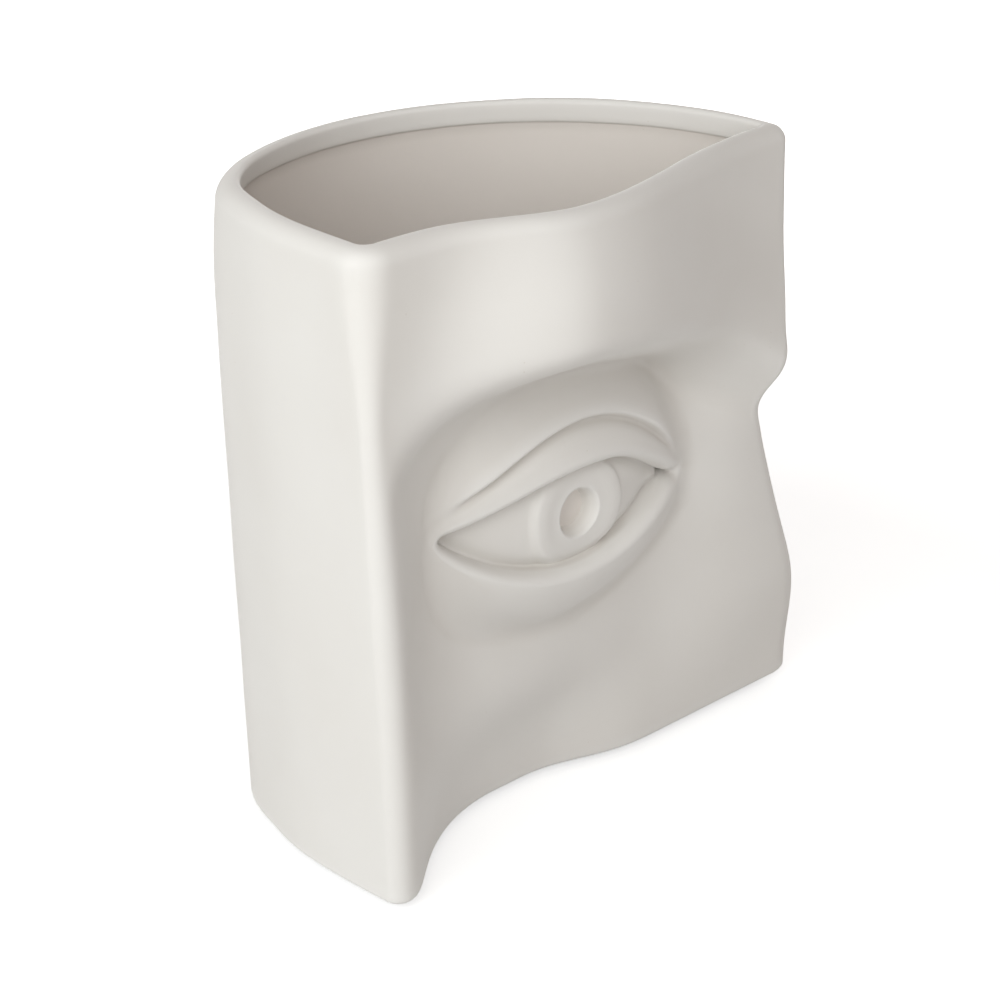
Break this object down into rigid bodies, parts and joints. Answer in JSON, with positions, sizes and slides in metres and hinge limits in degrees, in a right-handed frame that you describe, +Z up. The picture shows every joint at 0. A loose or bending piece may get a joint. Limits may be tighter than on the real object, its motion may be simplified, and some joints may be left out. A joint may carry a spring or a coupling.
{
  "type": "ceramic vase",
  "caption": "Hollow white ceramic vase with a flat side wall, a round back wall and an eye in relief on its front wall, open at the top, standing on felt pads.",
  "frame": {"origin": "under the middle of the vase's bounding box, on the surface that the felt pads stand on", "axes": "+Z up, the relief faces -Y, the flat side wall faces -X"},
  "size_m": [0.1796, 0.119, 0.188],
  "materials": {
    "ceramic": "satin matt, warm white",
    "felt": "pressed grey felt"
  },
  "bodies": {
    "root": {"vase_body": "ceramic", "foot_pad_front_left": "felt", "foot_pad_back_left": "felt", "foot_pad_back_right": "felt", "foot_pad_front_right": "felt"}
  },
  "joints": []
}
